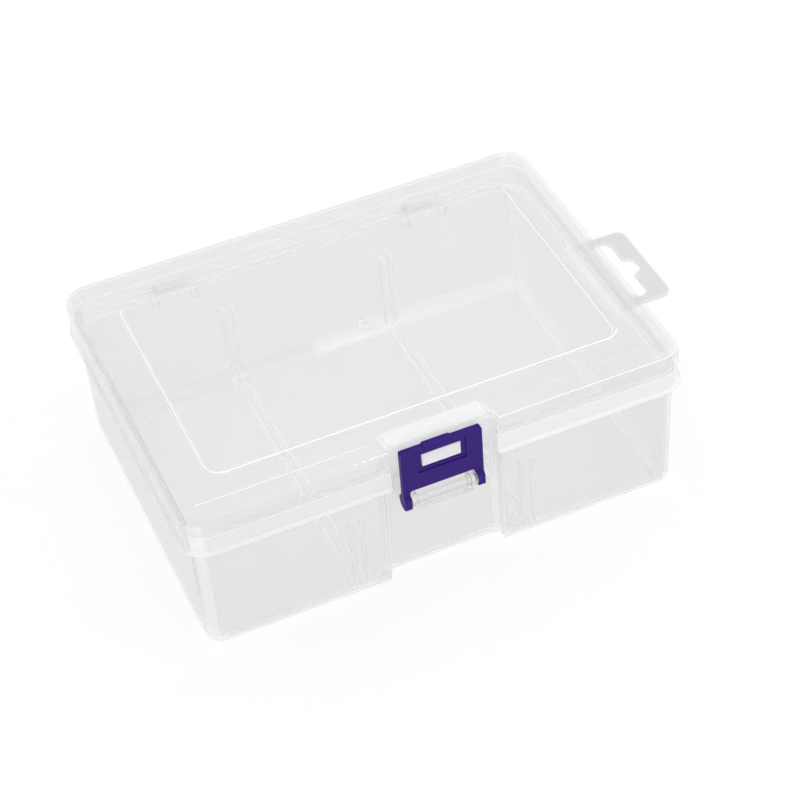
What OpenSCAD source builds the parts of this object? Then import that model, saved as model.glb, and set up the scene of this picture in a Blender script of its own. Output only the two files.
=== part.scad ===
// Clear plastic storage box: a tray with guides for dividers, a hinged lid and a snap latch.
// The origin is the middle of the flat underside. X runs along the length, the front faces -Y
// and Z points up. Lengths are in millimetres and angles in degrees.

/* [Box] */
// Length over the rim of the lid
box_w = 165; // [140:1:200]
// Depth over the rim of the lid
box_d = 120; // [100:1:150]
// Height of the closed box
box_h = 58; // [54:1:75]
// Corner radius of the lid's rim, seen from above
corner_r = 8.4; // [8:0.2:12]

/* [Tray] */
// Thickness of the tray's walls and floor
tray_wall = 1.5; // [1.2:0.1:2]
// How far the tray's walls lean in from the rim to the foot
tray_draft = 0.55; // [0:0.05:1]
// Radius round the foot of the tray's walls
foot_r = 5.3; // [3:0.1:5.3]
// Height by which the tray's rim stands up inside the lid
tray_rise = 6.8; // [5:0.2:8]

/* [Lid] */
// Height of the lid over its rim
lid_h = 14.4; // [12.5:0.1:17]
// Thickness of the lid's top and skirt
lid_wall = 1.3; // [1:0.1:1.6]
// Radius of the edge between the lid's top and its sides
lid_edge_r = 3; // [2:0.1:3.5]
// Height of the bead round the lid's rim
bead_h = 1.5; // [1:0.1:2.5]
// How far the bead stands out from the skirt
bead_out = 0.7; // [0.3:0.1:1]
// Width of the ledge by which the lid rests on the tray's rim
seat_lap = 0.5; // [0.3:0.1:0.8]
// Height of the upright face of that ledge
seat_h = 0.6; // [0.4:0.1:1]

/* [Top panel] */
// Plain border of the top at the two ends of the lid
panel_margin_x = 14.6; // [12:0.1:20]
// Plain border of the top at the front and the back
panel_margin_y = 17.4; // [17:0.1:24]
// Depth of the sunk panel
panel_depth = 0.8; // [0.4:0.1:1]
// Width of the sloped edge of the panel
panel_slope = 0.8; // [0.5:0.1:1.2]
// Corner radius of the panel
panel_r = 5.4; // [3:0.1:8]
// Radius of the round moulding mark in the middle of the panel
gate_r = 1.8; // [1.2:0.1:2.5]
// Depth of the moulding mark
gate_depth = 0.4; // [0.2:0.1:0.6]
// Height of the stub under the moulding mark
gate_stub = 1; // [0.5:0.1:2]

/* [Latch] */
// Width of the latch
latch_w = 26.6; // [24:0.2:34]
// Thickness of the latch's plate
latch_t = 2; // [1.6:0.1:2.4]
// Height of the latch's plate, without its legs
plate_h = 16.3; // [15:0.1:18]
// How far the latch's face lies behind the rim of the lid
latch_set = 3; // [2.6:0.1:3.6]
// How far the top of the latch lies below the top of the lid
latch_drop = 3.5; // [3:0.1:5]
// Width of each leg of the latch
leg_w = 2.2; // [2:0.1:4]
// Distance from the plate's lower edge down to the pivot
pivot_drop = 4.6; // [4:0.1:5]
// Radius of the eye at the foot of each leg
eye_r = 2.8; // [2.3:0.1:2.8]
// How far the flat front of an eye stands out from the latch's face
eye_out = 1; // [0.4:0.1:1.2]
// Thickness of the wall that closes the eye on the outside
eye_cap = 1; // [0.8:0.1:1.4]
// Radius of the rounded top corners of the latch
latch_r = 0.7; // [0.6:0.1:2]
// Radius in the corner between the plate and a leg
leg_r = 0.8; // [0.4:0.1:1.2]
// Width of the latch's window
window_w = 13.2; // [10:0.1:16]
// Height of the latch's window
window_h = 5.7; // [4:0.1:6.4]
// Distance from the latch's top down to its window
window_drop = 2.9; // [2.5:0.1:3.5]
// Width of the sunk border round the window
field_margin = 1.4; // [0.8:0.1:1.8]
// Depth of the sunk border
field_depth = 0.4; // [0.2:0.1:0.6]
// Width of the finger nub on top of the latch
nub_w = 9.1; // [6:0.1:12]
// Height of the finger nub
nub_h = 0.6; // [0.3:0.1:1]
// How far the nub lies left of the latch's middle
nub_shift = 1.3; // [0:0.1:2]

/* [Latch recess] */
// Free width on each side of the latch
recess_side = 3.9; // [3:0.1:5]
// Corner radius of the recess in the lid, inside and at its mouth
recess_r = 2; // [1.4:0.1:2.6]
// Radius of the inside corners of the recess in the tray
tray_recess_r = 2.5; // [2:0.1:3]
// Radius of the mouth of the recess in the tray
tray_mouth_r = 1.6; // [1.6:0.1:2.2]
// Length of the slope from the lid's top down to the recess
slope_run = 5.3; // [3:0.1:6]
// Drop of that slope
slope_drop = 1; // [0.6:0.1:1.8]
// Distance from the sides of the recess to the ends of that slope
slope_inset = 1.5; // [0.6:0.1:3]
// Slant of the underside of the catch
catch_slant = 0.3; // [0.2:0.1:1.5]

/* [Latch bracket] */
// Radius of the rod that the latch turns on
rod_r = 1.4; // [1.2:0.05:1.5]
// Thickness of the two arms that hold the rod
arm_t = 2; // [1.6:0.1:2.6]
// Radius of an arm round the rod
arm_r = 2.1; // [1.9:0.1:2.3]
// Distance from the rod down to the bottom of the bracket
bracket_drop = 7.1; // [6:0.1:9]
// How far the lower part of the bracket stands out from the recess
bracket_out = 1.5; // [1:0.1:1.7]
// Thickness of the shelf between the arms
shelf_t = 1.2; // [0.8:0.1:1.8]

/* [Divider guides] */
// Distance between the two slots for dividers
guide_span = 57.2; // [50:0.2:70]
// Width of a slot
guide_slot = 2.4; // [1.6:0.1:3]
// Thickness of the ribs beside a slot
rib_t = 1.1; // [0.8:0.1:1.5]
// Depth of the ribs on the walls, at their foot
rib_depth = 1.8; // [1.2:0.1:2.4]
// Height of the ribs on the walls over the table
rib_h = 31.5; // [24:0.5:40]
// Height of the ribs on the floor
floor_rib_h = 1; // [0.6:0.1:1.5]

/* [Hang tab] */
// Width of the tab
tab_w = 35.4; // [32:0.1:40]
// How far the tab reaches out past the lid's rim
tab_out = 16.8; // [16:0.1:20]
// Thickness of the tab
tab_t = 1.3; // [1:0.1:2]
// Radius of the tab's outer corners
tab_r = 3; // [2:0.1:5]
// Length of the slot in the tab
slot_len = 29.4; // [27:0.1:30]
// Radius of the slot's two ends
slot_r = 3.3; // [2.8:0.1:3.4]
// Distance from the tab's outer edge to the middle of the slot
slot_in = 10; // [9.5:0.1:11]
// Radius of the bulge in the middle of the slot
bulge_r = 4.1; // [3.6:0.1:4.5]
// Distance from the tab's outer edge to the middle of the bulge
bulge_in = 7.3; // [6.8:0.1:8]

/* [Hinge] */
// Distance between the two hinges
hinge_span = 90; // [70:1:110]
// Width of the lid's knuckle in each hinge
knuckle_w = 11; // [8:0.5:16]
// Radius of the knuckle
knuckle_r = 2.4; // [2.2:0.1:2.8]
// Radius of the hinge pin
pin_r = 1.4; // [1.2:0.05:1.5]
// Thickness of the two ears that hold the pin
ear_t = 2.2; // [1.8:0.1:3]
// Distance from the pin down to the foot of the ears
ear_drop = 4.2; // [3.6:0.1:9]
// Height of the web that joins the knuckle to the skirt
web_h = 5; // [4:0.1:6]
// Thickness of the heel that stops the lid
heel_t = 1.6; // [1.2:0.1:2]
// Angle to which the lid opens
lid_open = 118; // [105:1:125]

/* [Clearances] */
// Gap between the lid's skirt and the tray's wall
lid_gap = 0.45; // [0.4:0.05:0.6]
// Gap between pieces that rest on or hang beside each other
rest_gap = 0.3; // [0.3:0.05:0.4]
// Gap behind the closed latch
latch_gap = 0.35; // [0.3:0.05:0.5]
// Gap between a pin and the wall of its hole
pin_gap = 0.05; // [0.03:0.01:0.08]

/* [Hidden] */
$fn = 48;

// Overrun of a cut past the face that it opens
over = 1;
// Overlap that joins two shapes of one piece
bite = 0.4;
// Bevel along thin moulded edges
bevel = 0.3;
// Smallest radius of a corner that the wall behind it takes up
least_r = 0.1;
// Width of the snap gap in a knuckle or an eye, as a share of the pin's diameter
snap_share = 0.78;
// Direction in which the lid's knuckle opens, from +Y
snap_angle = 240;

// Heights
lid_z = box_h - lid_h;
tray_h = lid_z + tray_rise;
seat_z = tray_h + rest_gap;
lid_under = box_h - lid_wall;

// Distances outward from the axis of a plan corner
tray_inset = bead_out + lid_wall + lid_gap;
tray_top_x = corner_r - tray_inset;
tray_foot_x = tray_top_x - tray_draft;
foot_round = min(foot_r, tray_foot_x);
skirt_x = corner_r - bead_out;
skirt_in_x = skirt_x - lid_wall;
seat_x = tray_top_x - seat_lap;

// Half distances between the axes of the plan corners
corner_x = box_w / 2 - corner_r;
corner_y = box_d / 2 - corner_r;

// Places of the latch, its pivot and its recess
latch_y = -box_d / 2 + latch_set;
latch_top = box_h - latch_drop;
plate_z = latch_top - plate_h;
pivot_y = latch_y + latch_t / 2;
pivot_z = plate_z - pivot_drop;
window_top = latch_top - window_drop;
window_z = window_top - window_h;
recess_y = latch_y + latch_t + latch_gap;
recess_half = latch_w / 2 + recess_side;
tray_recess_y = recess_y + lid_wall + lid_gap;
tray_recess_half = recess_half + lid_wall + lid_gap;
eye_round = min(eye_r, tray_recess_y - rest_gap - pivot_y);
tray_front_y = -corner_y - tray_top_x;
bracket_half = latch_w / 2 - leg_w - rest_gap;
rod_half = latch_w / 2 - eye_cap - rest_gap;

// Places of the hinge
hinge_y = box_d / 2 + knuckle_r;
hinge_z = lid_z - 2 * rest_gap;
ear_r = knuckle_r - latch_gap;
tray_back_y = corner_y + tray_top_x;

// Quarter of a disc, on the side towards +x and towards side along y
module quarter(r, side) {
    intersection() {
        circle(r);
        translate([0, side > 0 ? 0 : -r]) square(r);
    }
}

// Rectangle from the corner low to the corner high, with all four corners rounded
module rounded(low, high, r) {
    translate([low.x + r, low.y]) square([high.x - low.x - 2 * r, high.y - low.y]);
    translate([low.x, low.y + r]) square([high.x - low.x, high.y - low.y - 2 * r]);
    for (x = [low.x + r, high.x - r], y = [low.y + r, high.y - r])
        translate([x, y]) circle(r);
}

// Sweeps a section round a rounded rectangle. The section's x is the distance outward from the
// axis of a plan corner, and its y is the height.
module around(cx, cy) {
    corners = [[cx, cy], [-cx, cy], [-cx, -cy], [cx, -cy]];
    for (i = [0:3])
        translate(corners[i]) {
            rotate(90 * i) rotate_extrude(angle = 90) children();
            rotate([90, 0, 90 * i]) linear_extrude(i % 2 == 0 ? 2 * cy : 2 * cx) children();
        }
}

// The same sweep with its middle filled from height low to height high
module filled(cx, cy, low, high) {
    around(cx, cy) children();
    translate([-cx, -cy, low]) cube([2 * cx, 2 * cy, high - low]);
}

// Extrudes a section drawn in Y and Z along X
module along_x(x0, x1) {
    translate([x0, 0, 0]) rotate([90, 0, 90]) linear_extrude(x1 - x0) children();
}

// Extrudes a front view drawn in X and Z backward from the plane Y = y0
module back_from(y0, depth) {
    translate([0, y0 + depth, 0]) rotate([90, 0, 0]) linear_extrude(depth) children();
}

// Plan of the latch recess: half its width, the Y of its back, the Y of its mouth, the radius of
// its inside corners and the radius of its mouth
module recess_plan(half, back, mouth, inner_r, mouth_r) {
    rounded([-half, mouth - over - 2 * inner_r], [half, back], inner_r);
    for (side = [-1, 1])
        difference() {
            translate([side * (half + (mouth_r - bite) / 2) - (mouth_r + bite) / 2, mouth - over])
                square([mouth_r + bite, mouth_r + over]);
            translate([side * (half + mouth_r), mouth + mouth_r]) circle(mouth_r);
        }
}

// Section of the rounded step between an upright face at x = 0 and a floor at height z0
module foot_section(r, z0) {
    difference() {
        translate([-bite, z0 - bite]) square(r + bite);
        translate([r, z0 + r]) circle(r);
    }
}

// Runs the rounded step along the foot of the recess
module recess_foot(half, back, inner_r, r, z0) {
    translate([0, back - inner_r - corner_y, 0])
        around(half - inner_r, corner_y) translate([inner_r, 0]) foot_section(r, z0);
}

// Outer form of the tray without its recess
module tray_form() {
    filled(corner_x, corner_y, 0, tray_h) {
        polygon([[0, 0], [tray_foot_x - foot_round, 0], [tray_foot_x - foot_round, foot_round],
            [tray_foot_x, foot_round], [tray_top_x, tray_h - bevel],
            [tray_top_x - bevel, tray_h], [0, tray_h]]);
        translate([tray_foot_x - foot_round, foot_round]) quarter(foot_round, -1);
    }
}

// Hollow of the tray without the wall behind the recess
module tray_hollow() {
    inner_foot = max(foot_round - tray_wall, least_r);
    inner_x = tray_top_x - tray_wall;
    foot_x = tray_foot_x - tray_wall;
    foot_z = tray_wall + inner_foot;
    filled(corner_x, corner_y, tray_wall, tray_h + over) {
        polygon([[0, tray_wall], [foot_x - inner_foot, tray_wall], [foot_x - inner_foot, foot_z],
            [foot_x, foot_z], [inner_x, tray_h - bevel], [inner_x + bevel + over, tray_h + over],
            [0, tray_h + over]]);
        translate([foot_x - inner_foot, foot_z]) quarter(inner_foot, -1);
    }
}

// Wall that follows the recess on the inside of the tray
module tray_recess_wall() {
    inner_foot = max(foot_round - tray_wall, least_r);
    translate([0, 0, -over]) linear_extrude(tray_h + 2 * over)
        recess_plan(tray_recess_half + tray_wall, tray_recess_y + tray_wall,
            tray_front_y + tray_wall, tray_recess_r + tray_wall,
            max(tray_mouth_r - tray_wall, least_r));
    recess_foot(tray_recess_half + tray_wall, tray_recess_y + tray_wall,
        tray_recess_r + tray_wall, inner_foot, tray_wall);
}

// Recess in the tray's front, with its rounded foot
module tray_recess() {
    translate([0, 0, -over]) linear_extrude(tray_h + 2 * over)
        recess_plan(tray_recess_half, tray_recess_y, tray_front_y, tray_recess_r, tray_mouth_r);
    recess_foot(tray_recess_half, tray_recess_y, tray_recess_r, foot_round, 0);
}

// One U of ribs at the place x: up the front wall, across the floor and up the back wall
module guide_rib(x) {
    outer_y = corner_y + tray_foot_x - tray_wall / 2;
    inner_y = corner_y + tray_foot_x - tray_wall - rib_depth;
    floor_z = tray_wall + floor_rib_h;
    along_x(x - rib_t / 2, x + rib_t / 2)
        polygon([[outer_y, tray_wall / 2], [outer_y, rib_h + rib_depth], [inner_y, rib_h],
            [inner_y, floor_z], [-inner_y, floor_z], [-inner_y, rib_h],
            [-outer_y, rib_h + rib_depth], [-outer_y, tray_wall / 2]]);
}

// Two ribs on each side of each divider slot
module guides() {
    rib_x = (guide_slot + rib_t) / 2;
    for (side = [-1, 1], edge = [-1, 1])
        guide_rib(side * guide_span / 2 + edge * rib_x);
}

// Bracket in the recess: a rod for the latch, on two arms with a shelf between them
module latch_bracket() {
    root_y = tray_recess_y + bite;
    low_z = pivot_z - bracket_drop;
    front_y = tray_recess_y - bracket_out;
    bow = arm_r * sin(45);
    for (side = [-1, 1]) {
        x0 = side > 0 ? bracket_half - arm_t : -bracket_half;
        along_x(x0, x0 + arm_t) {
            translate([pivot_y, pivot_z]) circle(arm_r);
            polygon([[root_y, pivot_z + arm_r], [pivot_y, pivot_z + arm_r],
                [pivot_y - bow, pivot_z - bow], [front_y, pivot_z - pivot_drop + rest_gap],
                [front_y, low_z], [root_y, low_z]]);
        }
    }
    along_x(-bracket_half, bracket_half)
        translate([front_y, low_z]) square([root_y - front_y, shelf_t]);
    along_x(-rod_half, rod_half) translate([pivot_y, pivot_z]) circle(rod_r);
}

// Flat tab with a slot for a shop hook, under the lid's rim on the right
module hang_tab() {
    root_x = box_w / 2 - tray_inset - tray_wall / 2;
    edge_x = box_w / 2 + tab_out;
    slot_x = edge_x - slot_in;
    slot_y = slot_len / 2 - slot_r;
    translate([0, 0, lid_z - rest_gap - tab_t]) linear_extrude(tab_t) difference() {
        union() {
            translate([root_x, -tab_w / 2]) square([tab_r + tab_out / 2, tab_w]);
            rounded([root_x, -tab_w / 2], [edge_x, tab_w / 2], tab_r);
        }
        for (side = [-1, 1]) translate([slot_x, side * slot_y]) circle(slot_r);
        translate([slot_x - slot_r, -slot_y]) square([2 * slot_r, 2 * slot_y]);
        translate([edge_x - bulge_in, 0]) circle(bulge_r);
    }
}

// Two ears and a pin for one hinge, with its middle at the place x
module hinge_ears(x) {
    root_y = tray_back_y - tray_draft - tray_wall / 2;
    inner = knuckle_w / 2 + rest_gap;
    bow = ear_r * cos(45);
    for (x0 = [x - inner - ear_t, x + inner])
        along_x(x0, x0 + ear_t) {
            translate([hinge_y, hinge_z]) circle(ear_r);
            polygon([[root_y, hinge_z], [hinge_y, hinge_z], [hinge_y + bow, hinge_z - bow],
                [root_y, hinge_z - ear_drop]]);
        }
    along_x(x - inner - ear_t / 2, x + inner + ear_t / 2)
        translate([hinge_y, hinge_z]) circle(pin_r);
}

// Tray with its divider guides, latch bracket, hang tab and hinge pins, moulded in one piece
module tray() {
    color([0.93, 0.95, 0.96, 0.45]) {
        difference() {
            tray_form();
            difference() {
                tray_hollow();
                tray_recess_wall();
            }
            tray_recess();
        }
        intersection() {
            tray_form();
            guides();
        }
        latch_bracket();
        hang_tab();
        for (side = [-1, 1]) hinge_ears(side * hinge_span / 2);
    }
}

// Outer form of the lid: a bead at the rim, the skirt and a rounded edge to the top
module lid_form() {
    bead_z = lid_z + bead_h;
    edge_x = skirt_x - lid_edge_r;
    edge_z = box_h - lid_edge_r;
    filled(corner_x, corner_y, lid_z, box_h) {
        polygon([[0, lid_z], [corner_r - bevel, lid_z], [corner_r, lid_z + bevel],
            [corner_r, bead_z - bevel], [corner_r - bevel, bead_z], [skirt_x, bead_z],
            [skirt_x, edge_z], [edge_x, edge_z], [edge_x, box_h], [0, box_h]]);
        translate([edge_x, edge_z]) quarter(lid_edge_r, 1);
    }
}

// Hollow of the lid, with a ledge all round that rests on the tray's rim
module lid_hollow() {
    inner_r = max(lid_edge_r - lid_wall, least_r);
    lap = skirt_in_x - seat_x;
    edge_x = skirt_in_x - inner_r;
    edge_z = lid_under - inner_r;
    filled(corner_x, corner_y, lid_z - over, lid_under) {
        polygon([[0, lid_z - over], [skirt_in_x, lid_z - over], [skirt_in_x, seat_z],
            [seat_x, seat_z], [seat_x, seat_z + seat_h], [skirt_in_x, seat_z + seat_h + lap],
            [skirt_in_x, edge_z], [edge_x, edge_z], [edge_x, lid_under], [0, lid_under]]);
        translate([edge_x, edge_z]) quarter(inner_r, 1);
    }
}

// Wall that follows the recess on the inside of the lid, and the sloped underside behind it
module lid_recess_wall() {
    half = recess_half + lid_wall;
    back = recess_y + lid_wall;
    translate([0, 0, lid_z - 2 * over]) linear_extrude(lid_h + 2 * over)
        recess_plan(half, back, -box_d / 2 + lid_wall, recess_r + lid_wall,
            max(recess_r - lid_wall, least_r));
    slope_half = recess_half - slope_inset + lid_wall;
    along_x(-slope_half, slope_half)
        polygon([[back - bite, lid_under - slope_drop], [back, lid_under - slope_drop],
            [back + slope_run, lid_under], [back + slope_run, lid_under + over],
            [back - bite, lid_under + over]]);
}

// Recess in the lid's front, with the slope that leads down to it from the top
module lid_recess() {
    translate([0, 0, lid_z - over]) linear_extrude(lid_h + 2 * over)
        recess_plan(recess_half, recess_y, -box_d / 2, recess_r, recess_r);
    along_x(slope_inset - recess_half, recess_half - slope_inset)
        polygon([[recess_y - bite, box_h - slope_drop], [recess_y, box_h - slope_drop],
            [recess_y + slope_run, box_h], [recess_y + slope_run, box_h + over],
            [recess_y - bite, box_h + over]]);
}

// Sunk panel of the top: the section tapers by the slope from top to bottom, and grow moves it
// outward for the underside
module panel(top, grow) {
    r_top = panel_r + grow;
    filled(box_w / 2 - panel_margin_x - panel_r, box_d / 2 - panel_margin_y - panel_r,
        top - panel_depth, top)
        polygon([[0, top - panel_depth], [r_top - panel_slope, top - panel_depth],
            [r_top, top], [0, top]]);
}

// Catch on the lid that stands in the latch's window
module catch() {
    half = window_w / 2 - latch_gap;
    front_y = latch_y + field_depth;
    top = window_top - rest_gap;
    low = window_z + latch_gap;
    along_x(-half, half)
        polygon([[recess_y + bite, low], [recess_y, low], [front_y, low + catch_slant],
            [front_y, top], [recess_y + bite, top]]);
}

// Knuckle of the lid that clips over a hinge pin, with its web and the heel that stops the lid
module knuckle(x) {
    root_y = box_d / 2 - bead_out - lid_wall / 2;
    bow = knuckle_r * cos(45);
    heel = hinge_y - tray_back_y - rest_gap / 2;
    snap_w = 2 * pin_r * snap_share;
    along_x(x - knuckle_w / 2, x + knuckle_w / 2) difference() {
        union() {
            translate([hinge_y, hinge_z]) circle(knuckle_r);
            polygon([[root_y, lid_z], [hinge_y - knuckle_r, lid_z], [hinge_y, hinge_z],
                [hinge_y + bow, hinge_z + bow], [root_y, lid_z + web_h]]);
            translate([hinge_y, hinge_z]) rotate(lid_open - 180) translate([0, -heel_t / 2])
                square([heel, heel_t]);
        }
        translate([hinge_y, hinge_z]) circle(pin_r + pin_gap);
        translate([hinge_y, hinge_z]) rotate(snap_angle) translate([0, -snap_w / 2])
            square([knuckle_r + over, snap_w]);
    }
}

// Lid with its sunk panel, recess, catch and knuckles, moulded in one piece
module lid() {
    color([0.95, 0.96, 0.97, 0.4]) {
        difference() {
            lid_form();
            difference() {
                lid_hollow();
                lid_recess_wall();
                panel(lid_under, panel_slope / 2);
                translate([0, 0, lid_under - panel_depth - gate_stub])
                    cylinder(h = gate_stub + over, r = gate_r);
            }
            lid_recess();
            translate([0, 0, over]) panel(box_h - over, 0);
            translate([0, 0, box_h - panel_depth - gate_depth])
                cylinder(h = panel_depth + gate_depth + over, r = gate_r);
        }
        catch();
        for (side = [-1, 1]) knuckle(side * hinge_span / 2);
    }
}

// Front view of the latch: the plate with rounded top corners and its two legs
module latch_outline() {
    half = latch_w / 2;
    inner = half - leg_w;
    difference() {
        rounded([-half, pivot_z - latch_r], [half, latch_top], latch_r);
        rounded([-inner, pivot_z - 2 * eye_round], [inner, plate_z], leg_r);
        translate([-latch_w, pivot_z - 2 * latch_r]) square([2 * latch_w, 2 * latch_r]);
    }
}

// Section of an eye, round the rod and flat in front
module eye_section() {
    front = latch_y - eye_out;
    intersection() {
        translate([pivot_y, pivot_z]) circle(eye_round);
        translate([front, pivot_z - eye_round]) square(2 * eye_round);
    }
}

// Latch: a plate with a window that hooks over the lid's catch, on two legs with snap eyes
module latch() {
    half = latch_w / 2;
    inner = half - leg_w;
    field_w = window_w + 2 * field_margin;
    field_h = window_h + 2 * field_margin;
    snap_w = 2 * rod_r * snap_share;
    color([0.24, 0.14, 0.47]) difference() {
        union() {
            back_from(latch_y, latch_t) latch_outline();
            for (x0 = [-half, inner]) along_x(x0, x0 + leg_w) eye_section();
            translate([-nub_shift - nub_w / 2, latch_y, latch_top - bite])
                cube([nub_w, latch_t, nub_h + bite]);
        }
        translate([-window_w / 2, latch_y - over, window_z])
            cube([window_w, latch_t + 2 * over, window_h]);
        translate([-field_w / 2, latch_y - over, window_z - field_margin])
            cube([field_w, field_depth + over, field_h]);
        along_x(eye_cap - half, half - eye_cap)
            translate([pivot_y, pivot_z]) circle(rod_r + pin_gap);
        along_x(eye_cap - half, half - eye_cap)
            translate([pivot_y, pivot_z - snap_w / 2]) square([eye_round + over, snap_w]);
    }
}

tray();
lid();
latch();
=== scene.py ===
from collections import namedtuple
import math

import bpy
from mathutils import Matrix, Vector

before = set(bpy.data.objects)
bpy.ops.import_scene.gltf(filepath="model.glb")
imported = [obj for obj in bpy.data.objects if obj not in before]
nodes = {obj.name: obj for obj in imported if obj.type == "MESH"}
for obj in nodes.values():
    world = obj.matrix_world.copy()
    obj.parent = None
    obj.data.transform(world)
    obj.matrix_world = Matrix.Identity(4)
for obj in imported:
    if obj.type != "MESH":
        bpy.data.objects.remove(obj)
scene = bpy.context.scene
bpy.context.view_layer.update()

# Clear plastic: its grey in the flat walls, and its white along edges, in thick places and in painted
# highlights
MILK_TONE = (0.82, 0.82, 0.82)
EDGE_TONE = (1.0, 1.0, 1.0)
CLEAR_TINT = (0.99, 0.99, 0.99, 1.0)
CLEAR_IOR = 1.015
COAT_IOR = 1.49
COAT_ROUGHNESS = 0.06
# Share of the milk's light that passes through the wall
THROUGH_SHARE = 0.45
# Tint of what passes straight through one surface: a lamp's light, and what the clearest parts show
PASS_TINT = (0.985, 0.985, 0.985, 1.0)

# Share of the surface that is milky: face on, added at a slant, by the uneven flow, on roundings that
# turn up or down, on upright round corners and along edges
FACE_MILK = 0.16
SLANT_MILK = 0.1
FLOW_MILK = 0.03
CURVE_MILK = 0.03
CORNER_MILK = 0.22
EDGE_MILK = 0.85

# Radius by which the edge mask rounds, and 1 less the cosine between the rounded normal and the real
# one where an edge starts to count and fully counts
EDGE_RADIUS = 0.0009
EDGE_TURN = (0.005, 0.07)
# 1 less the largest part of a face's normal, where the face starts to count and fully counts as a slope
# or as a rounding, and the upright part of the normal where a rounding turns from upright to upward
SLOPE_TILT = (0.002, 0.012)
ROUND_TILT = (0.004, 0.12)
UPWARD_TURN = (0.15, 0.4)

# Texture of the moulding: uneven flow, scuffs along its length and a very fine grain, then the values
# of a noise between which the roughness changes, and the roughness of the scuffs
FLOW_SCALE = 26.0
SCUFF_STRETCH = (60.0, 900.0, 400.0)
GRAIN_SCALE = 1400.0
GRAIN_SHARE = 0.03
NOISE_SPAN = (0.3, 0.7)
SCUFF_ROUGHNESS = (0.05, 0.1)

# Latch: the two purples of its clouded colour, the lighter purple, share and radius of the painted highlight
# along its edges, its roughness, and the rounding of its edges that are sharper than an angle in degrees
PURPLES = ((0.024, 0.004, 0.150), (0.036, 0.008, 0.190))
HIGHLIGHT_PURPLE = (0.07, 0.03, 0.36, 1.0)
HIGHLIGHT_SHARE = 0.2
HIGHLIGHT_RADIUS = 0.0004
LATCH_ROUGHNESS = (0.38, 0.5)
LATCH_ROUNDING = 0.00018
ROUNDED_ANGLE = 35.0

# Places in metres from the middle of the box's underside: x to the tab, y to the back, z up.
# Planes past the box's sides, front, back, underside and top
SIDE = 0.0828
FRONT, BACK = -0.07, 0.07
UNDER, OVER = -0.001, 0.06
# Lid: the bottom of its rim, a plane just below that, the top of its ledge, and a plane in the tray's
# front wall that parts the lid's front from its other sides
RIM_Z = 0.0436
BELOW_RIM = 0.0430
LEDGE_Z = 0.0516
FRONT_WALL = -0.0560
# Where the left and the right side of the rim begin, seen from above
LEFT_RIM, RIGHT_RIM = -0.0765, 0.0740
# Hang tab: where its milk starts, a plane past its end and one past its sides
TAB_IN, TAB_END = 0.0862, 0.11
TAB_SIDE = 0.03
# Latch's rod: half its length, and the box round its section
ROD_END = 0.0128
ROD_Y = (-0.0580, -0.0541)
ROD_Z = (0.0316, 0.0356)
# Guide ribs: the middles of a pair, half the width of their zones, how far out and how far in those on
# the walls reach, and the heights where all start, those on the walls end and those on the floor end
RIB_X = (0.02685, 0.03035)
RIB_HALF = 0.0008
RIB_OUT, RIB_IN = 0.0556, 0.0525
RIB_FOOT, RIB_TOP, FLOOR_RIB_TOP = 0.0018, 0.0335, 0.0030
# Softness of the borders of zones, and of the sides of lines as a share of their half width
SOFT = 0.0002
LINE_SOFTNESS = 0.5

# Zones where the plastic is thicker, thinner, doubled or sloped, and zones of painted shade and of painted
# highlight. Each is a box from low to high, the milk that it adds, how white that milk is, whether it counts
# on slopes and curves alone, and whether it lies on both sides of the middle in x. Below 0, milk is the share
# that the zone makes clearer.
Zone = namedtuple("Zone", "low high milk white slopes mirrored", defaults=(0.0, False, False))

# The rim's middle, left and right, which are clearer than the walls, and the hinges behind it
RIMS = (Zone((LEFT_RIM, FRONT_WALL, RIM_Z), (RIGHT_RIM, BACK, OVER), -0.65),
        Zone((-SIDE, FRONT_WALL, BELOW_RIM), (LEFT_RIM, BACK, OVER), -0.4),
        Zone((RIGHT_RIM, FRONT_WALL, BELOW_RIM), (SIDE, BACK, OVER), -0.6))
HINGES = Zone((0.0, 0.0598, 0.03), (SIDE, 0.08, OVER), -0.82, mirrored=True)

# Tray
TAB = Zone((TAB_IN, -TAB_SIDE, 0.03), (TAB_END, TAB_SIDE, OVER), 0.8, mirrored=True)
TAB_EDGE = Zone((TAB_IN, -TAB_SIDE, 0.0418), (TAB_END, TAB_SIDE, 0.0428), -0.8, mirrored=True)
TAB_ROOT = Zone((RIGHT_RIM, -0.0200, 0.0400), (0.0824, 0.0200, RIM_Z), -0.8)
FOOT = Zone((0.0, FRONT, UNDER), (SIDE, -0.045, 0.006), 0.45, 1.0, slopes=True, mirrored=True)
ROD = Zone((0.0, ROD_Y[0], ROD_Z[0]), (ROD_END, ROD_Y[1], ROD_Z[1]), 0.15, 1.0, mirrored=True)
BACK_WALL = Zone((-SIDE, 0.0530, 0.0060), (SIDE, BACK, RIM_Z), 0.07)
# Painted shade: grey milk that darkens the tray's left wall
LEFT_WALL_PAINTED_SHADE = Zone((-SIDE, -0.0520, 0.0020), (-0.0745, 0.0500, RIM_Z), 0.1)
# Painted shade along the fold at the back left, where the floor turns up into the walls, and a painted
# highlight along the fold on the right half
FOLD_PAINTED_SHADE = Zone((-SIDE, 0.0450, UNDER), (0.0, BACK, 0.0075), 0.12, slopes=True)
FOLD_PAINTED_HIGHLIGHT = Zone((0.0, -0.0450, UNDER), (SIDE, BACK, 0.0075), 0.12, 1.0, slopes=True)

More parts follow.
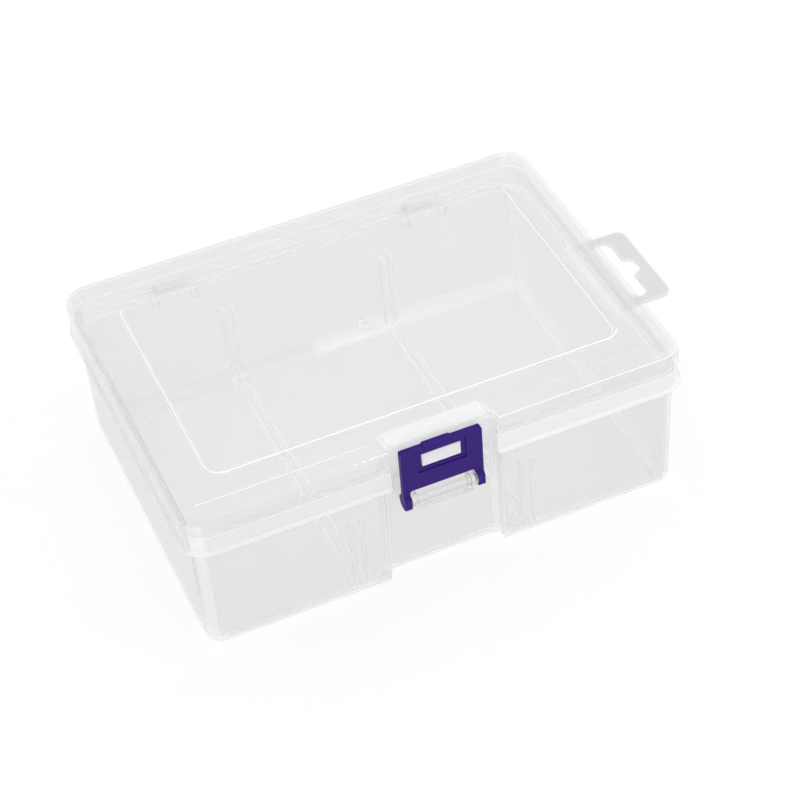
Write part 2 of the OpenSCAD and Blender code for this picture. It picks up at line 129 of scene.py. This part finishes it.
# Lid
CATCH = Zone((0.0, -0.0572, 0.0460), (0.0066, -0.0546, LEDGE_Z), 0.9, 1.0, mirrored=True)
# The latch recess's sloped band: white milk that is partly its slant and partly a painted highlight where it
# faces the lamps
RECESS_SLOPE = Zone((0.0, -0.0566, 0.0550), (0.0165, -0.0470, 0.0585), 0.25, 1.0, slopes=True, mirrored=True)
RECESS_MOUTH = Zone((0.0, -0.0566, 0.0440), (0.0176, -0.0513, 0.0580), 0.15, 1.0, mirrored=True)
SKIRT = Zone((0.0, FRONT, BELOW_RIM), (SIDE, FRONT_WALL, 0.0507), 0.45, 1.0, mirrored=True)
# Painted highlight: extra white milk on the lid's skirt right of the latch
RIGHT_SKIRT_PAINTED_HIGHLIGHT = Zone((0.0150, FRONT, BELOW_RIM), (SIDE, FRONT_WALL, 0.0507), 0.15, 1.0)
LEDGE = Zone((0.0, FRONT, 0.0505), (SIDE, FRONT_WALL, LEDGE_Z), 0.5, 1.0, mirrored=True)
LID_BACK = Zone((LEFT_RIM, FRONT_WALL, BELOW_RIM), (RIGHT_RIM, 0.0602, LEDGE_Z), -0.65)
PANEL_RIGHT = Zone((0.0672, -0.0400, 0.0545), (0.0690, 0.0400, 0.0585), -0.5)

# Painted highlights and a painted reflection: bright lines on the lid's top. Each follows a rounded rectangle
# about the middle, of half a length and depth, a corner radius and half a line's width, where it lies in the
# box from low to high, and the milk that it adds.
Line = namedtuple("Line", "half_size radius half_width low high milk")

# A plane just under the lid's top, the panel's corner radius, and where its left and right lines end
PANEL_Z = 0.0570
PANEL_R = 0.0050
PANEL_FRONT, PANEL_BACK = -0.0405, 0.0405
# Form of the faint painted reflection behind the front edge, and the limits of its box in x and y
FAINT = ((0.0768, 0.0520), 0.0020, 0.0004)
FAINT_X = (0.0215, 0.0760)
FAINT_Y = (-0.0540, -0.0508)
HIGHLIGHT_LINES = (
    # Painted highlights along the left, right, front and back of the sunk panel
    Line((0.0679, 0.0422), PANEL_R, 0.00035, (-SIDE, -0.0410, PANEL_Z), (0.0, PANEL_BACK, OVER), 0.6),
    Line((0.0669, 0.0419), 0.0046, 0.00025, (0.0, PANEL_FRONT, 0.0568), (SIDE, PANEL_BACK, OVER), 0.6),
    Line((0.0681, 0.0428), 0.0056, 0.0003, (-SIDE, FRONT, PANEL_Z), (SIDE, PANEL_FRONT, OVER), 0.9),
    Line((0.0675, 0.0422), PANEL_R, 0.0003, (-SIDE, PANEL_BACK, PANEL_Z), (SIDE, BACK, OVER), 0.25),
    # Painted highlight on the front edge's rounding, right of the latch
    Line((0.0807, 0.0582), 0.0066, 0.0002, (0.0180, FRONT, 0.0560), (SIDE, -0.0480, OVER), 0.7),
    # Faint painted reflection behind the front edge, left and right of the latch
    Line(*FAINT, (-FAINT_X[1], FAINT_Y[0], PANEL_Z), (-FAINT_X[0], FAINT_Y[1], OVER), 0.55),
    Line(*FAINT, (FAINT_X[0], FAINT_Y[0], PANEL_Z), (FAINT_X[1], FAINT_Y[1], OVER), 0.22),
)

# The rod bends light as solid plastic does, has painted shade towards its sides and loses most of its milk
ROD_IOR = 1.45
ROD_TINT = (0.99, 0.99, 0.99)
ROD_SIDE_SHADE = (0.25, 0.25, 0.25)
ROD_SIDE_TURN = (0.3, 0.8)
ROD_CLEAR = 0.8

# Light of the studio, and how much of the floor is seen as plain white
SKY_LIGHT = 0.92
WHITE = (1.0, 1.0, 1.0, 1.0)
FLOOR_TONE = (0.93, 0.93, 0.93, 1.0)
FLOOR_WHITE = 0.7
FLOOR_HALF = 3.0
FLOOR_Z = -0.0002

# Square lamps: name, place, the point that each one faces, size and power
BODY_POINT = (0.0, 0.0, 0.02)
TOP_POINT = (0.0, 0.0, 0.05)
LAMPS = (("key_lamp", (-0.15, -0.85, 1.25), BODY_POINT, 0.9, 2.0),
         ("fill_lamp", (0.9, 0.3, 1.0), BODY_POINT, 0.8, 2.0),
         ("top_lamp", (0.31, -0.07, 1.28), TOP_POINT, 0.1, 1.2))

# The photograph's camera: place in metres, angles in degrees, and lens in pixels of the photograph
CAMERA_PLACE = (-0.181287, -0.513571, 0.533192)
YAW, PITCH, ROLL = -20.503, 43.469, -4.765
PHOTO_SIZE = 800.0
PHOTO_FOCAL = 2310.62
PHOTO_CENTRE = (405.307, 412.038)
SENSOR_WIDTH = 36.0
CLIP = (0.01, 50.0)

# Sockets of a Mix node that take its two colours
FIRST_COLOUR, SECOND_COLOUR = 6, 7


def new_material(name):
    """An empty node material and its tree."""
    material = bpy.data.materials.new(name)
    material.use_nodes = True
    material.node_tree.nodes.clear()
    return material, material.node_tree


def add(tree, kind, **values):
    """Adds a node and sets its properties and its unlinked sockets by name."""
    node = tree.nodes.new(kind)
    for key, value in values.items():
        if hasattr(node, key):
            setattr(node, key, value)
        else:
            node.inputs[key.replace("_", " ")].default_value = value
    return node


def maths(tree, operation, a, b=None, c=None, clamp=False):
    """A Math node. Each operand is a number or a socket."""
    node = add(tree, "ShaderNodeMath", operation=operation, use_clamp=clamp)
    for socket, operand in zip(node.inputs, (a, b, c)):
        if operand is None:
            continue
        if isinstance(operand, (int, float)):
            socket.default_value = operand
        else:
            tree.links.new(operand, socket)
    return node.outputs[0]


def ramp(tree, source, span, to_low, to_high):
    """A clamped, smooth Map Range of a socket over a span."""
    node = add(tree, "ShaderNodeMapRange", interpolation_type="SMOOTHSTEP")
    tree.links.new(source, node.inputs["Value"])
    for name, value in zip(("From Min", "From Max", "To Min", "To Max"), (*span, to_low, to_high)):
        node.inputs[name].default_value = value
    return node.outputs["Result"]


def seen_directly(tree):
    """1 where a camera, a gloss or a glass sees the surface, and 0 where it only lights things."""
    path = add(tree, "ShaderNodeLightPath")
    seen = maths(tree, "MAXIMUM", path.outputs["Is Camera Ray"], path.outputs["Is Glossy Ray"])
    return maths(tree, "MAXIMUM", seen, path.outputs["Is Transmission Ray"])


def mix_colours(tree, factor, low, high):
    """Blends two fixed colours by a socket."""
    node = add(tree, "ShaderNodeMix", data_type="RGBA")
    tree.links.new(factor, node.inputs[0])
    node.inputs[FIRST_COLOUR].default_value = (*low, 1.0)
    node.inputs[SECOND_COLOUR].default_value = (*high, 1.0)
    return node.outputs[2]


def edge_mask(tree, radius):
    """1 along the edges of a wall, where the rounded normal departs from the real one."""
    bevel = add(tree, "ShaderNodeBevel", samples=6, Radius=radius)
    geometry = add(tree, "ShaderNodeNewGeometry")
    dot = add(tree, "ShaderNodeVectorMath", operation="DOT_PRODUCT")
    tree.links.new(bevel.outputs["Normal"], dot.inputs[0])
    tree.links.new(geometry.outputs["Normal"], dot.inputs[1])
    return ramp(tree, maths(tree, "SUBTRACT", 1.0, dot.outputs["Value"]), EDGE_TURN, 0.0, 1.0)


def slope_masks(tree, coordinates):
    """1 on slopes, however slight, on roundings that turn up or down, and on upright corners."""
    size = add(tree, "ShaderNodeVectorMath", operation="ABSOLUTE")
    tree.links.new(coordinates.outputs["Normal"], size.inputs[0])
    parts = add(tree, "ShaderNodeSeparateXYZ")
    tree.links.new(size.outputs[0], parts.inputs[0])
    most = maths(tree, "MAXIMUM", parts.outputs[0], parts.outputs[1])
    most = maths(tree, "MAXIMUM", most, parts.outputs[2])
    tilt = maths(tree, "SUBTRACT", 1.0, most)
    slope = ramp(tree, tilt, SLOPE_TILT, 0.0, 1.0)
    rounding = ramp(tree, tilt, ROUND_TILT, 0.0, 1.0)
    upward = ramp(tree, parts.outputs[2], UPWARD_TURN, 0.0, 1.0)
    level = maths(tree, "SUBTRACT", 1.0, upward)
    return slope, maths(tree, "MULTIPLY", rounding, upward), maths(tree, "MULTIPLY", rounding, level)


def box_mask(tree, parts, low, high):
    """1 inside a box, with soft sides. A low side of None is left open."""
    mask = 1.0
    for part, start, end in zip(parts, low, high):
        mask = maths(tree, "MULTIPLY", ramp(tree, part, (end - SOFT, end + SOFT), 1.0, 0.0), mask)
        if start is not None:
            mask = maths(tree, "MULTIPLY", ramp(tree, part, (start - SOFT, start + SOFT), 0.0, 1.0), mask)
    return mask


def zone_mask(tree, place_parts, folded, zone, slope):
    """1 in a zone. The folded x is the distance from the middle, for zones on both sides."""
    if zone.mirrored:
        mask = box_mask(tree, (folded, *place_parts[1:]), (zone.low[0] or None, *zone.low[1:]), zone.high)
    else:
        mask = box_mask(tree, place_parts, zone.low, zone.high)
    return maths(tree, "MULTIPLY", mask, slope) if zone.slopes else mask


def line_mask(tree, parts, line):
    """1 along a painted highlight line's rounded rectangle, inside its box."""
    squares = []
    sides = []
    for part, half in zip(parts, line.half_size):
        side = maths(tree, "SUBTRACT", maths(tree, "ABSOLUTE", part), half - line.radius)
        past = maths(tree, "MAXIMUM", side, 0.0)
        squares.append(maths(tree, "MULTIPLY", past, past))
        sides.append(side)
    outside = maths(tree, "SQRT", maths(tree, "ADD", *squares))
    inside = maths(tree, "MINIMUM", maths(tree, "MAXIMUM", *sides), 0.0)
    reach = maths(tree, "SUBTRACT", maths(tree, "ADD", outside, inside), line.radius)
    away = maths(tree, "ABSOLUTE", reach)
    span = (line.half_width * (1.0 - LINE_SOFTNESS), line.half_width * (1.0 + LINE_SOFTNESS))
    near = ramp(tree, away, span, 1.0, 0.0)
    return maths(tree, "MULTIPLY", near, box_mask(tree, parts, line.low, line.high))


def glassy(tree, ior, scuffs, bump):
    """A glossy clear shader. A low index keeps thin walls from showing dark seams."""
    glass = add(tree, "ShaderNodeBsdfPrincipled")
    glass.inputs["Base Color"].default_value = CLEAR_TINT
    glass.inputs["Transmission Weight"].default_value = 1.0
    glass.inputs["IOR"].default_value = ior
    glass.inputs["Coat Weight"].default_value = 1.0
    glass.inputs["Coat IOR"].default_value = COAT_IOR
    glass.inputs["Coat Roughness"].default_value = COAT_ROUGHNESS
    tree.links.new(ramp(tree, scuffs.outputs["Fac"], NOISE_SPAN, *SCUFF_ROUGHNESS), glass.inputs["Roughness"])
    tree.links.new(bump.outputs["Normal"], glass.inputs["Normal"])
    return glass


def solid_rod(tree, scuffs, bump):
    """Clear solid plastic, with painted shade where it curves away."""
    solid = glassy(tree, ROD_IOR, scuffs, bump)
    side = add(tree, "ShaderNodeLayerWeight", Blend=0.5)
    turned = ramp(tree, side.outputs["Facing"], ROD_SIDE_TURN, 0.0, 1.0)
    tree.links.new(mix_colours(tree, turned, ROD_TINT, ROD_SIDE_SHADE), solid.inputs["Base Color"])
    return solid


def mix_shaders(tree, factor, first, second):
    """Blends two shaders by a socket or a number."""
    node = add(tree, "ShaderNodeMixShader")
    if isinstance(factor, float):
        node.inputs["Fac"].default_value = factor
    else:
        tree.links.new(factor, node.inputs["Fac"])
    tree.links.new(first.outputs[0], node.inputs[1])
    tree.links.new(second.outputs[0], node.inputs[2])
    return node


def clear_plastic(name, zones, lines=(), rod=None):
    """Clear polypropylene: glass with a little milkiness, more of it on curves, edges and in zones, and
    painted highlight lines.
    """
    material, tree = new_material(name)
    link = tree.links.new
    coordinates = add(tree, "ShaderNodeTexCoord")
    place = coordinates.outputs["Object"]

    # Uneven flow of the moulding, fine scuffs along it, and a very fine grain
    flow = add(tree, "ShaderNodeTexNoise", Scale=FLOW_SCALE, Detail=2.0, Roughness=0.45)
    link(place, flow.inputs["Vector"])
    stretched = add(tree, "ShaderNodeMapping", Scale=SCUFF_STRETCH)
    link(place, stretched.inputs["Vector"])
    scuffs = add(tree, "ShaderNodeTexNoise", Scale=1.0, Detail=3.0)
    link(stretched.outputs[0], scuffs.inputs["Vector"])
    grain = add(tree, "ShaderNodeTexNoise", Scale=GRAIN_SCALE, Detail=2.0)
    link(place, grain.inputs["Vector"])
    height = maths(tree, "MULTIPLY_ADD", grain.outputs["Fac"], GRAIN_SHARE, flow.outputs["Fac"])
    bump = add(tree, "ShaderNodeBump", Strength=0.12, Distance=0.001)
    link(height, bump.inputs["Height"])

    # Milky share of the surface, how white the milk is, and how much of the plastic counts at all
    edge = edge_mask(tree, EDGE_RADIUS)
    slope, curve, corner = slope_masks(tree, coordinates)
    weight = add(tree, "ShaderNodeLayerWeight", Blend=0.35)
    share = maths(tree, "MULTIPLY_ADD", weight.outputs["Facing"], SLANT_MILK, FACE_MILK)
    share = maths(tree, "MULTIPLY_ADD", flow.outputs["Fac"], FLOW_MILK, share)
    parts = add(tree, "ShaderNodeSeparateXYZ")
    link(place, parts.inputs[0])
    place_parts = (parts.outputs[0], parts.outputs[1], parts.outputs[2])
    folded = maths(tree, "ABSOLUTE", parts.outputs[0])
    bright = maths(tree, "MAXIMUM", edge, corner)
    present = 1.0
    for zone in zones:
        mask = zone_mask(tree, place_parts, folded, zone, slope)
        if zone.milk < 0.0:
            present = maths(tree, "MULTIPLY", maths(tree, "MULTIPLY_ADD", mask, zone.milk, 1.0), present)
            continue
        share = maths(tree, "MULTIPLY_ADD", mask, zone.milk, share)
        bright = maths(tree, "MAXIMUM", bright, maths(tree, "MULTIPLY", mask, zone.white))
    # Painted highlights: each bright line adds white milk
    painted_highlight = 0.0
    for line in lines:
        mask = maths(tree, "MULTIPLY", line_mask(tree, place_parts, line), line.milk)
        painted_highlight = maths(tree, "MAXIMUM", mask, painted_highlight)
    if lines:
        share = maths(tree, "ADD", share, painted_highlight)
        bright = maths(tree, "MAXIMUM", bright, painted_highlight)
    share = maths(tree, "MULTIPLY_ADD", curve, CURVE_MILK, share)
    share = maths(tree, "MULTIPLY_ADD", corner, CORNER_MILK, share)
    share = maths(tree, "MULTIPLY_ADD", edge, EDGE_MILK, share, clamp=True)

    glass = glassy(tree, CLEAR_IOR, scuffs, bump)
    if rod:
        inside = zone_mask(tree, place_parts, folded, rod, slope)
        share = maths(tree, "MULTIPLY", share, maths(tree, "MULTIPLY_ADD", inside, -ROD_CLEAR, 1.0))
        glass = mix_shaders(tree, inside, glass, solid_rod(tree, scuffs, bump))

    # Milk scatters light back and lets some through, except on a painted highlight line, which lets none
    # through
    tone = mix_colours(tree, bright, MILK_TONE, EDGE_TONE)
    scatter = add(tree, "ShaderNodeBsdfDiffuse")
    through = add(tree, "ShaderNodeBsdfTranslucent")
    link(tone, scatter.inputs["Color"])
    link(tone, through.inputs["Color"])
    passed = ramp(tree, painted_highlight, (0.0, 1.0), THROUGH_SHARE, 0.0) if lines else THROUGH_SHARE
    body = mix_shaders(tree, share, glass, mix_shaders(tree, passed, scatter, through))

    # Lamps shine through the plastic, and its clearest parts are plainly seen through
    shade = add(tree, "ShaderNodeBsdfTransparent", Color=PASS_TINT)
    path = add(tree, "ShaderNodeLightPath")
    absent = maths(tree, "SUBTRACT", 1.0, present)
    seen_through = maths(tree, "MAXIMUM", path.outputs["Is Shadow Ray"], absent)
    final = mix_shaders(tree, seen_through, body, shade)
    out = add(tree, "ShaderNodeOutputMaterial")
    link(final.outputs[0], out.inputs["Surface"])
    return material


def latch_plastic():
    """Opaque purple plastic, satin, with a fine moulded grain and a painted highlight along its edges."""
    material, tree = new_material("latch_plastic")
    link = tree.links.new
    place = add(tree, "ShaderNodeTexCoord").outputs["Object"]
    cloud = add(tree, "ShaderNodeTexNoise", Scale=160.0, Detail=3.0)
    link(place, cloud.inputs["Vector"])
    grain = add(tree, "ShaderNodeTexNoise", Scale=2600.0, Detail=2.0)
    link(place, grain.inputs["Vector"])
    bump = add(tree, "ShaderNodeBump", Strength=0.25, Distance=0.00005)
    link(grain.outputs["Fac"], bump.inputs["Height"])
    shader = add(tree, "ShaderNodeBsdfPrincipled")
    shader.inputs["Specular IOR Level"].default_value = 0.15
    # Painted highlight: the purple turns lighter along the latch's edges
    highlighted = add(tree, "ShaderNodeMix", data_type="RGBA")
    link(maths(tree, "MULTIPLY", edge_mask(tree, HIGHLIGHT_RADIUS), HIGHLIGHT_SHARE), highlighted.inputs[0])
    link(mix_colours(tree, cloud.outputs["Fac"], *PURPLES), highlighted.inputs[FIRST_COLOUR])
    highlighted.inputs[SECOND_COLOUR].default_value = HIGHLIGHT_PURPLE
    link(highlighted.outputs[2], shader.inputs["Base Color"])
    link(ramp(tree, cloud.outputs["Fac"], NOISE_SPAN, *LATCH_ROUGHNESS), shader.inputs["Roughness"])
    link(bump.outputs["Normal"], shader.inputs["Normal"])
    out = add(tree, "ShaderNodeOutputMaterial")
    link(shader.outputs[0], out.inputs["Surface"])
    return material


def set_material(node, material):
    """Gives a CAD node one material, on its object's slots."""
    shown = nodes[node]
    for slot in shown.material_slots:
        slot.link = "OBJECT"
        slot.material = material


def soften_edges(node, width):
    """Rounds the edges of a CAD node's shown shape a little, as moulded edges are."""
    bevel = nodes[node].modifiers.new("moulded_edges", "BEVEL")
    bevel.width = width
    bevel.segments = 2
    bevel.limit_method = "ANGLE"
    bevel.angle_limit = math.radians(ROUNDED_ANGLE)
    bevel.harden_normals = True


def build_floor():
    """A pale floor that shows white and keeps the shadow."""
    mesh = bpy.data.meshes.new("floor")
    corners = [(x * FLOOR_HALF, y * FLOOR_HALF, FLOOR_Z) for x, y in ((-1, -1), (1, -1), (1, 1), (-1, 1))]
    mesh.from_pydata(corners, [], [(0, 1, 2, 3)])
    floor = bpy.data.objects.new("floor", mesh)
    scene.collection.objects.link(floor)
    material, tree = new_material("floor")
    matt = add(tree, "ShaderNodeBsdfDiffuse", Color=FLOOR_TONE)
    white = add(tree, "ShaderNodeEmission", Color=WHITE, Strength=1.0)
    seen = maths(tree, "MULTIPLY", seen_directly(tree), FLOOR_WHITE)
    out = add(tree, "ShaderNodeOutputMaterial")
    tree.links.new(mix_shaders(tree, seen, matt, white).outputs[0], out.inputs["Surface"])
    mesh.materials.append(material)
    return floor


def build_world():
    """White where it is seen, and a soft even light where it lights."""
    world = bpy.data.worlds.new("studio")
    scene.world = world
    world.use_nodes = True
    tree = world.node_tree
    tree.nodes.clear()
    light = add(tree, "ShaderNodeBackground", Color=WHITE, Strength=SKY_LIGHT)
    white = add(tree, "ShaderNodeBackground", Color=WHITE, Strength=1.0)
    out = add(tree, "ShaderNodeOutputWorld")
    tree.links.new(mix_shaders(tree, seen_directly(tree), light, white).outputs[0], out.inputs["Surface"])


def build_lamp(name, place, aim, size, power):
    """A square soft lamp that points from place to aim."""
    data = bpy.data.lights.new(name, "AREA")
    data.shape = "SQUARE"
    data.size = size
    data.energy = power
    lamp = bpy.data.objects.new(name, data)
    scene.collection.objects.link(lamp)
    lamp.location = place
    lamp.rotation_euler = (Vector(aim) - Vector(place)).to_track_quat("-Z", "Y").to_euler()
    return lamp


def build_camera():
    """The photograph's view: a long lens from the front left, above the box."""
    yaw, pitch, roll = (math.radians(angle) for angle in (YAW, PITCH, ROLL))
    forward = Vector((-math.sin(yaw) * math.cos(pitch), math.cos(yaw) * math.cos(pitch), -math.sin(pitch)))
    right = Vector((math.cos(yaw), math.sin(yaw), 0.0))
    up = right.cross(forward)
    turned_right = math.cos(roll) * right + math.sin(roll) * up
    turned_up = math.cos(roll) * up - math.sin(roll) * right
    turn = Matrix((turned_right, turned_up, -forward)).transposed()
    data = bpy.data.cameras.new("camera")
    data.sensor_width = SENSOR_WIDTH
    data.lens = PHOTO_FOCAL * SENSOR_WIDTH / PHOTO_SIZE
    data.shift_x = (PHOTO_SIZE / 2 - PHOTO_CENTRE[0]) / PHOTO_SIZE
    data.shift_y = (PHOTO_CENTRE[1] - PHOTO_SIZE / 2) / PHOTO_SIZE
    data.clip_start, data.clip_end = CLIP
    camera = bpy.data.objects.new("camera", data)
    camera.matrix_world = Matrix.Translation(Vector(CAMERA_PLACE)) @ turn.to_4x4()
    scene.collection.objects.link(camera)
    scene.camera = camera
    return camera


def rib_zones():
    """Both ribs of each pair, up the front wall, up the back wall and along the floor."""
    runs = ((-RIB_OUT, -RIB_IN, RIB_TOP, 0.7), (RIB_IN, RIB_OUT, RIB_TOP, 0.7),
            (-RIB_IN, RIB_IN, FLOOR_RIB_TOP, 0.35))
    return [Zone((x - RIB_HALF, low_y, RIB_FOOT), (x + RIB_HALF, high_y, high_z), milk, 1.0, mirrored=True)
            for x in RIB_X for low_y, high_y, high_z, milk in runs]


tray_zones = [TAB, TAB_EDGE, TAB_ROOT, *RIMS, FOOT, ROD, BACK_WALL, LEFT_WALL_PAINTED_SHADE, FOLD_PAINTED_SHADE, FOLD_PAINTED_HIGHLIGHT, HINGES,
              *rib_zones()]
lid_zones = [CATCH, RECESS_SLOPE, SKIRT, RIGHT_SKIRT_PAINTED_HIGHLIGHT, LEDGE, LID_BACK, *RIMS[1:], HINGES, RECESS_MOUTH,
             PANEL_RIGHT]
set_material("tray", clear_plastic("clear_tray", tray_zones, rod=ROD))
set_material("lid", clear_plastic("clear_lid", lid_zones, HIGHLIGHT_LINES))
set_material("latch", latch_plastic())
soften_edges("latch", LATCH_ROUNDING)
build_floor()
build_world()
build_camera()
for lamp_values in LAMPS:
    build_lamp(*lamp_values)

scene.view_settings.view_transform = "Standard"
